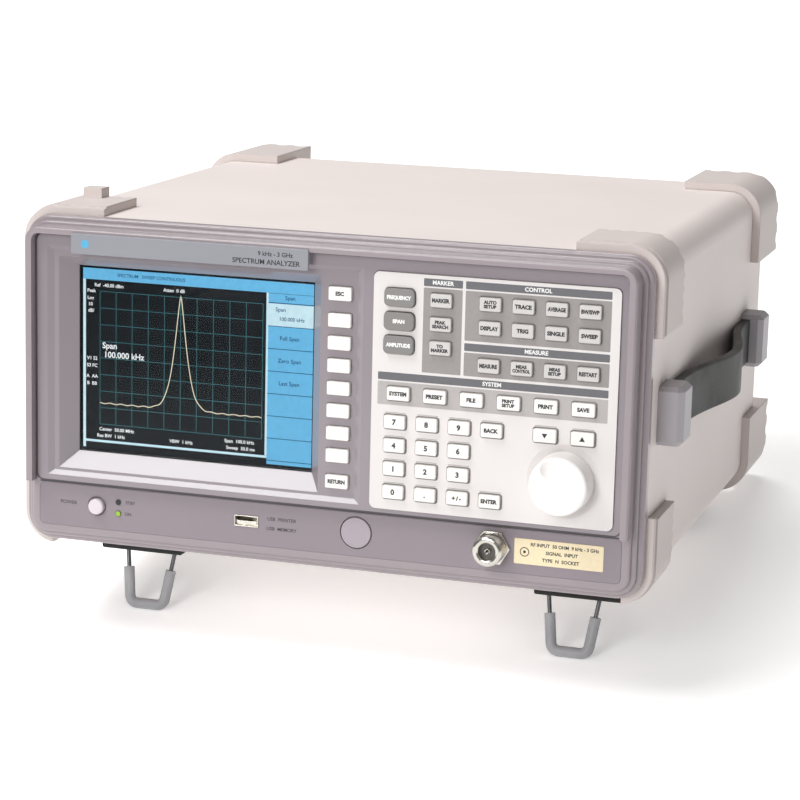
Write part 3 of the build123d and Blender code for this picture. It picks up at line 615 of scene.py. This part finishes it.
def display_frame():
    """Blue title bar, menu column and the bright rule round the plot."""
    blue = Print()
    blue.put(flat([patch(0.0, 1.0, 0.0, 0.062)], 0.02), y=PICTURE_Y)
    blue.put(flat([patch(MENU_U, 1.0, 0.064, 1.0)], 0.02), y=PICTURE_Y)
    blue.piece("display_bars", "lit_blue", "case", "lcd_module")
    pale = Print()
    rules = ((0.0, 0.012, 0.062, 1.0), (0.012, MENU_U, 0.955, 0.968), (MENU_U - 0.009, MENU_U, 0.062, 0.954))
    for rule in rules:
        pale.put(flat([patch(*rule)], 0.02), y=PICTURE_Y)
    pale.put(flat([patch(MENU_U, 1.0, 0.118, 0.243)], 0.02), y=PICTURE_Y - 0.03)
    pale.piece("display_rules", "lit_pale", "case", "lcd_module")
    navy = Print()
    for i in range(7):
        v = 0.243 + 0.123 * i
        navy.put(flat([patch(MENU_U, 1.0, v - 0.004, v)], 0.02), y=PICTURE_Y - 0.06)
    navy.put(flat([patch(MENU_U, 1.0, 0.112, 0.117)], 0.02), y=PICTURE_Y - 0.06)
    for words, v in (("Span", 0.085), ("Span", 0.15), ("Full Span", 0.305), ("Zero Span", 0.428),
                     ("Last Span", 0.551)):
        x, z = on_screen(0.90 if v < 0.1 or v > 0.2 else 0.86, v)
        navy.put(lettering(words, 2.1), x, z, PICTURE_Y - 0.06)
    x, z = on_screen(0.91, 0.20)
    navy.put(lettering("100.000 kHz", 1.9, 17), x, z, PICTURE_Y - 0.06)
    x, z = on_screen(0.30, 0.031)
    navy.put(lettering("SPECTRUM   SWEEP CONTINUOUS", 1.7), x, z, PICTURE_Y - 0.06)
    navy.piece("display_menu_text", "lit_navy", "case", "lcd_module")


def display_grid():
    """The graticule of the plot."""
    u0, u1, v0, v1 = GRID
    half_u, half_v = 0.0010, 0.0013
    lines = Print()
    for i in range(GRID_COLUMNS + 1):
        u = u0 + (u1 - u0) * i / GRID_COLUMNS
        lines.put(flat([patch(u - half_u, u + half_u, v0, v1)], 0.02), y=PICTURE_Y)
    for i in range(GRID_ROWS + 1):
        v = v0 + (v1 - v0) * i / GRID_ROWS
        lines.put(flat([patch(u0, u1, v - half_v, v + half_v)], 0.02), y=PICTURE_Y - 0.01)
    lines.piece("display_grid", "lit_grid", "case", "lcd_module")


def trace_height(offset):
    """The trace's height above its floor, offset in grid columns from the peak."""
    return math.exp(-(abs(offset) / 0.53) ** 1.35)


def display_trace():
    """One resonance in the middle of a quiet floor."""
    u0, u1, v0, v1 = GRID
    floor_v = v0 + 0.84 * (v1 - v0)
    steps = 240
    points = []
    for i in range(steps + 1):
        t = i / steps
        column = (t - 0.5) * GRID_COLUMNS
        ripple = 0.003 * math.sin(9 * column) * (1 - trace_height(column))
        v = floor_v + (v0 - 0.01 - floor_v) * trace_height(column) + ripple
        x, z = on_screen(u0 + (u1 - u0) * t, v)
        points.append((x, PICTURE_Y - 0.05, z))
    mesh = bmesh.new()
    draft = tube(points, 0.21)
    mesh.from_mesh(draft)
    bpy.data.meshes.remove(draft)
    bmesh.ops.scale(mesh, vec=(1, 0.3, 1), verts=mesh.verts, space=Matrix.Translation((0, -PICTURE_Y, 0)))
    as_piece("display_trace", mesh, "lit_cream", "case")


def display_text():
    """Settings read out round the plot."""
    words = Print()
    small = [
        ("Ref  -40.00 dBm", 0.115, 0.092), ("Atten  0 dB", 0.40, 0.092),
        ("Peak", 0.038, 0.125), ("Log", 0.034, 0.165), ("10", 0.034, 0.20), ("dB/", 0.036, 0.235),
        ("V1 S2", 0.040, 0.50), ("S3 FC", 0.040, 0.54), ("A  AA", 0.040, 0.60), ("B  BB", 0.040, 0.64),
        ("Center  50.00 MHz", 0.15, 0.893), ("Res BW  1 kHz", 0.125, 0.93),
        ("VBW  1 kHz", 0.435, 0.925), ("Span  100.0 kHz", 0.69, 0.893), ("Sweep  30.0 ms", 0.695, 0.93),
    ]
    for line, u, v in small:
        x, z = on_screen(u, v)
        words.put(lettering(line, 1.75, weight=0.02), x, z, PICTURE_Y - 0.03)
    for line, u, v in (("Span", 0.118, 0.425), ("100.000 kHz", 0.185, 0.475)):
        x, z = on_screen(u, v)
        words.put(lettering(line, 3.1, weight=0.02), x, z, PICTURE_Y - 0.12)
    words.piece("display_text", "lit_white", "case", "lcd_module")


display_panel()
display_frame()
display_grid()
display_trace()
display_text()

# ---------------------------------------------------------------- keys and their legends
LEGENDS = {
    "key_escape": ["ESC"],
    "key_return": ["RETURN"],
    "key_function_1": ["FREQUENCY"],
    "key_function_2": ["SPAN"],
    "key_function_3": ["AMPLITUDE"],
    "keys_marker": ["MARKER", "PEAK\nSEARCH", "TO\nMARKER"],
    "keys_control_upper": ["AUTO\nSETUP", "TRACE", "AVERAGE", "BW/SWP"],
    "keys_control_lower": ["DISPLAY", "TRIG", "SINGLE", "SWEEP"],
    "keys_measure": ["MEASURE", "MEAS\nCONTROL", "MEAS\nSETUP", "RESTART"],
    "keys_system": ["SYSTEM", "PRESET", "FILE", "PRINT\nSETUP", "PRINT", "SAVE"],
    "keys_pad_row_1": ["7", "8", "9", "BACK"],
    "keys_pad_row_2": ["4", "5", "6"],
    "keys_pad_row_3": ["1", "2", "3"],
    "keys_pad_row_4": ["0", ".", "+ / -", "ENTER"],
}
KEY_W, KEY_H = 11.2, 6.9


def key_legends():
    """Printed legends, which move with their keys."""
    for node, legends in LEGENDS.items():
        centres, front = key_tops(node)
        ink = Print()
        for (x, z), legend in zip(centres, legends):
            lines = legend.split("\n")
            weight = 0.058
            if len(legend) == 1:
                height, limit, weight = 2.6, 4.0, 0.045
            elif len(lines) == 2:
                height, limit = 1.6, KEY_W - 2.0
            else:
                height, limit = 1.9, KEY_W - 1.8
            if node.startswith("key_function"):
                height, limit = 1.8, 13.0
            for i, line in enumerate(lines):
                drop = (len(lines) - 1) * 1.1 - 2.2 * i
                ink.put(lettering(line, height, limit, weight), x, z + drop, front - PROUD)
        finish = "ink_white" if node.startswith("key_function") else "ink_dark"
        ink.piece(node + "_legend", finish, node, node)
    for node, way in (("key_arrow_down", -1), ("key_arrow_up", 1)):
        (centre,), front = key_tops(node)
        x, z = centre
        ink = Print()
        arrow = [(x - 1.5, z - way * 1.2), (x + 1.5, z - way * 1.2), (x, z + way * 1.3)]
        ink.put(flat([arrow], 0.04), y=front - PROUD)
        ink.piece(node + "_legend", "ink_dark", node, node)


key_legends()

# ---------------------------------------------------------------- keypad print
PRINT_Y = -0.03
BAR_H = 4.0
BARS = {
    "MARKER": (54.4, 75.0, 158.5),
    "CONTROL": (76.6, 152.4, 158.5),
    "MEASURE": (76.6, 152.4, 126.7),
    "SYSTEM": (31.0, 152.4, 108.4),
}
DARK_ZONES = ((54.4, 75.0, 111.8, 155.7), (76.6, 152.4, 130.0, 155.7), (76.6, 152.4, 111.8, 123.9))
LIGHT_ZONES = ((31.0, 152.4, 93.4, 105.6),)
KEY_CLEAR = 0.45
WIDE_KEY_W = 12.0
WIDE_KEYS = ("keys_system", "key_arrow_down", "key_arrow_up")
PAD_KEYS = ("keys_pad_row_1", "keys_pad_row_2", "keys_pad_row_3", "keys_pad_row_4")


def keypad_print():
    """Header bars, grey zones with openings for their keys, grey rings of painted shadow round the keys,
    rules and headings.
    """
    bars, headings, outlines, rules = Print(), Print(), Print(), Print()
    for words, (x0, x1, z) in BARS.items():
        bars.put(flat([cornered(x0, x1, z - BAR_H / 2, z + BAR_H / 2, 0.5)], 0.05), y=PRINT_Y)
        headings.put(lettering(words, 2.0, weight=0.03), (x0 + x1) / 2, z, PRINT_Y - 0.03)
    keys = []
    for node in grey_zones + WIDE_KEYS + PAD_KEYS:
        width = WIDE_KEY_W if node in WIDE_KEYS else KEY_W
        keys += [(x, z, width) for x, z in key_tops(node)[0]]
    # grey rings of painted shadow round each key, set a little down and to the right where the keys' shadows
    # fall
    for x, z, width in keys:
        outer = around(x + 0.08, z - 0.12, width + 1.7, KEY_H + 1.7, 1.6)
        inner = around(x, z, width + 0.8, KEY_H + 0.8, 1.2)
        outlines.put(flat([outer, inner], 0.04), y=PRINT_Y - 0.02)
    for name, finish, zones in (("keypad_dark_zones", "ink_dark_zone", DARK_ZONES),
                                ("keypad_light_zone", "ink_light_zone", LIGHT_ZONES)):
        shade = Print()
        for x0, x1, z0, z1 in zones:
            openings = [around(x, z, w + 2 * KEY_CLEAR, KEY_H + 2 * KEY_CLEAR, 1.2)
                        for x, z, w in keys if x0 < x < x1 and z0 < z < z1]
            shade.put(flat([cornered(x0, x1, z0, z1, 0.5)] + openings, 0.05), y=PRINT_Y)
        shade.piece(name, finish, "case", "keypad_overlay")
    for node in PAD_KEYS + WIDE_KEYS[1:]:
        for x, z in key_tops(node)[0]:
            top = z + KEY_H / 2 + 1.1
            rules.put(flat([cornered(x - KEY_W / 2, x + KEY_W / 2, top, top + 0.3)], 0.04), y=PRINT_Y)
    bars.piece("keypad_bars", "ink_bar", "case", "keypad_overlay")
    outlines.piece("keypad_painted_key_shadows", "painted_key_shadow_ink", "case", "keypad_overlay")
    headings.piece("keypad_headings", "ink_white", "case", "keypad_overlay")
    rules.piece("keypad_rules", "ink_line", "case", "keypad_overlay")


keypad_print()


# ---------------------------------------------------------------- front lettering
# words, x, z and the height of the capitals
PANEL_WORDS = (
    ("POWER", -144.4, 22.9, 1.9),
    ("STBY", -108.4, 25.6, 1.7),
    ("ON", -109.9, 19.3, 1.7),
    ("USB  PRINTER", -21.9, 24.9, 1.8),
    ("USB  MEMORY", -21.9, 19.7, 1.8),
)
LABEL_WORDS = (
    ("RF INPUT  50 OHM  9 kHz - 3 GHz", 132.0, 25.7),
    ("SIGNAL  INPUT", 130.5, 21.9),
    ("TYPE  N  SOCKET", 130.0, 18.0),
)
LABEL_LIMIT = 36.0
LABEL_RING = (110.8, 21.6)


def front_lettering():
    """Generic words on the name plate, beside the controls and on the input label."""
    plate_y = spans(case_points("name_plate"))[1][0]
    panel_y = spans(case_points("lower_panel"))[1][0]
    label_y = spans(case_points("input_label"))[1][0]
    ink = Print()
    ink.put(lettering("SPECTRUM ANALYZER", 2.5, weight=0.02), -29.0, 163.6, plate_y - PROUD)
    ink.put(lettering("9 kHz - 3 GHz", 2.2, weight=0.02), -24.0, 167.9, plate_y - PROUD)
    for words, x, z, height in PANEL_WORDS:
        ink.put(lettering(words, height, weight=0.008), x, z, panel_y - PROUD)
    for words, x, z in LABEL_WORDS:
        ink.put(lettering(words, 1.7, LABEL_LIMIT, weight=0.03), x, z, label_y - PROUD)
    rings = [ring(*LABEL_RING, radius) for radius in (2.5, 2.05, 0.75)]
    ink.put(flat(rings, 0.04), y=label_y - PROUD)
    ink.piece("front_lettering", "ink_dark", "case", "lower_panel")


front_lettering()


def panel_painted_shadow_strips():
    """Dark strips round the inner panel and under it, standing in for the shadow lines there."""
    (x0, x1), (front, _), (z0, z1) = spans(case_points("inner_panel"))
    lower_y = spans(case_points("lower_panel"))[1][0]
    outer = cornered(x0 - 0.2, x1 + 0.2, z0, z1 + 0.2, 4.0)
    inner = cornered(x0 + 0.6, x1 - 0.6, z0 + 0.6, z1 - 0.6, 3.4)
    strip = Print()
    strip.put(flat([outer, inner], 0.3), y=front - 0.05)
    strip.put(flat([cornered(x0 + 0.4, x1 - 0.4, z0 - 1.8, z0 - 0.1)], 0.1), y=lower_y - 0.06)
    strip.piece("panel_painted_shadow_strips", "painted_shadow_lines", "case", "inner_panel")


panel_painted_shadow_strips()


def small_marks():
    """A plain round emblem on the name plate and the lit lower status lamp."""
    plate_y = spans(case_points("name_plate"))[1][0]
    emblem = Print()
    emblem.put(flat([ring(-130.5, 166.2, 2.3)], 0.05), y=plate_y - PROUD)
    emblem.piece("plate_emblem", "ink_blue", "case", "name_plate")
    (lamp_x0, lamp_x1), (lamp_y, _), (lamp_z, _) = spans(case_points("status_leds"))
    lamp_x = (lamp_x0 + lamp_x1) / 2
    flange = (lamp_x1 - lamp_x0) / 2
    dome = [(0.0, lamp_y - 0.55), (0.7, lamp_y - 0.45), (1.2, lamp_y - 0.2), (1.45, lamp_y + 0.1)]
    as_piece("lamp_dome", lathe(dome, lamp_x, lamp_z + flange, 32), "led_green", "case")


small_marks()


def rear_lettering():
    """Generic words beside the rear sockets."""
    panel_y = spans(case_points("rear_panel"))[1][1]
    ink = Print(BACKING)
    for words, x, z in (("REF  IN", -20.0, 52.0), ("REF  OUT", 6.0, 52.0), ("TRIG", 32.0, 52.0),
                        ("SERIAL", 30.0, 119.0), ("LINE", 118.0, 60.0)):
        ink.put(lettering(words, 2.4, weight=0.02), x, z, panel_y + PROUD)
    ink.piece("rear_lettering", "ink_dark", "case", "rear_panel")


rear_lettering()

# ---------------------------------------------------------------- input connector
INPUT_X, INPUT_Z = [sum(span) / 2 for span in spans(case_points("rf_connector"))[::2]]


def input_connector():
    """Threaded barrel with a chamfered nut, a white insulator coloured dark grey as painted shade of the
    socket's mouth, and slotted contact.
    """
    front, back = spans(case_points("rf_connector"))[1]
    barrel = 7.9
    pitch, thread = 1.06, 0.34
    thread_start, thread_end = front + 0.9, front + 8.9

    def helix(turn, y):
        if not thread_start < y < thread_end:
            return 0.0
        phase = (y / pitch - turn / (2 * math.pi)) % 1.0
        return -thread * abs(2 * phase - 1)

    rows = 60
    profile = [(4.6, front + 5.0), (4.6, front + 0.4), (5.0, front), (7.1, front), (7.55, front + 0.45)]
    profile += [(barrel, thread_start + (thread_end - thread_start) * i / rows) for i in range(rows + 1)]
    profile += [(6.2, back - 6.0), (6.2, back), (0.0, back)]
    shell = lathe(profile, INPUT_X, INPUT_Z, 72, helix)
    shell_piece = as_piece("input_shell", shell, "nickel", "case", 60.0)
    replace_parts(shell_piece, "rf_connector")
    nut = Print()
    corner_r = 8.6 / math.cos(math.pi / 6)
    turns = [math.radians(60 * i) for i in range(6)]
    six = [(corner_r * math.cos(turn), corner_r * math.sin(turn)) for turn in turns]
    nut.put(flat([six, ring(0, 0, 7.7)], 2.4, 0.35), INPUT_X, INPUT_Z, front + 10.2)
    nut.piece("input_nut", "nickel", "case", "rf_connector")
    core = lathe([(0.0, front + 3.4), (1.9, front + 3.4), (4.55, front + 3.6), (4.55, front + 7.0)],
                 INPUT_X, INPUT_Z, 48)
    as_piece("input_insulator", core, "insulator", "case")
    slot_count = 4

    def slotted(turn, y):
        in_slot = abs((turn * slot_count / (2 * math.pi)) % 1.0 - 0.5) < 0.08
        return -0.5 if y < front + 3.0 and in_slot else 0.0

    contact = [(0.8, 5.0), (0.85, 1.5), (1.35, 1.2), (1.6, 1.7), (1.6, 6.0)]
    pin = lathe([(radius, front + y) for radius, y in contact], INPUT_X, INPUT_Z, 48, slotted)
    as_piece("input_contact", pin, "nickel", "case")


input_connector()

# ---------------------------------------------------------------- stage, camera and lights
floor = bmesh.new()
bmesh.ops.create_circle(floor, cap_ends=True, segments=64, radius=8.0)
floor_data = bpy.data.meshes.new("floor")
floor.to_mesh(floor_data)
floor.free()
stage = Finish("floor_paper")
paper = stage.mix(stage.noise(3.0), (0.93, 0.93, 0.93, 1), (0.95, 0.95, 0.95, 1))
stage.set(Base_Color=paper, Roughness=0.9, Emission_Color=paper, Emission_Strength=0.32)
floor_data.materials.append(stage.material)
scene_link(bpy.data.objects.new("floor", floor_data))

world = bpy.data.worlds.new("studio")
bpy.context.scene.world = world
world.use_nodes = True
world.node_tree.nodes["Background"].inputs["Color"].default_value = (1, 1, 1, 1)
world.node_tree.nodes["Background"].inputs["Strength"].default_value = 0.22


def soft_light(name, place, target, size, power):
    """A large square light that faces a target."""
    light = bpy.data.lights.new(name, "AREA")
    light.shape = "SQUARE"
    light.size = size
    light.energy = power
    thing = scene_link(bpy.data.objects.new(name, light))
    thing.location = place
    thing.rotation_euler = (Vector(target) - Vector(place)).to_track_quat("-Z", "Y").to_euler()


soft_light("overhead", (-0.9, -0.75, 2.2), (0, 0, 0.1), 1.0, 30)
soft_light("back", (-0.4, 1.3, 2.0), (0, 0.1, 0.1), 1.2, 24)
soft_light("front", (-0.4, -2.2, 1.2), (0, 0, 0.1), 1.0, 24)

# The camera stands off the right front corner, a little above the case.
CAMERA_PLACE = Vector((437.04, -1270.70, 374.25))
CAMERA_YAW, CAMERA_PITCH, CAMERA_ROLL = -0.30058, 0.20597, 0.02461
FOCAL_IN_WIDTHS = 2645.17 / 800
SENSOR = 36.0


def add_camera():
    """The camera that was fitted to the photo."""
    yaw, pitch, roll = CAMERA_YAW, CAMERA_PITCH, CAMERA_ROLL
    ahead = Vector((math.sin(yaw) * math.cos(pitch), math.cos(yaw) * math.cos(pitch), -math.sin(pitch)))
    across = Vector((math.cos(yaw), -math.sin(yaw), 0))
    above = across.cross(ahead)
    camera_x = math.cos(roll) * across + math.sin(roll) * above
    camera_y = -math.sin(roll) * across + math.cos(roll) * above
    turned = Matrix((camera_x, camera_y, -ahead)).transposed()
    camera = bpy.data.cameras.new("camera")
    camera.sensor_width = SENSOR
    camera.lens = FOCAL_IN_WIDTHS * SENSOR
    camera.clip_start = 0.05
    camera.clip_end = 50.0
    thing = scene_link(bpy.data.objects.new("camera", camera))
    place = CASE @ CAMERA_PLACE
    thing.matrix_world = Matrix.Translation(place) @ (lean.to_3x3() @ turned).to_4x4()
    bpy.context.scene.camera = thing


add_camera()
bpy.context.scene.view_settings.view_transform = "Standard"
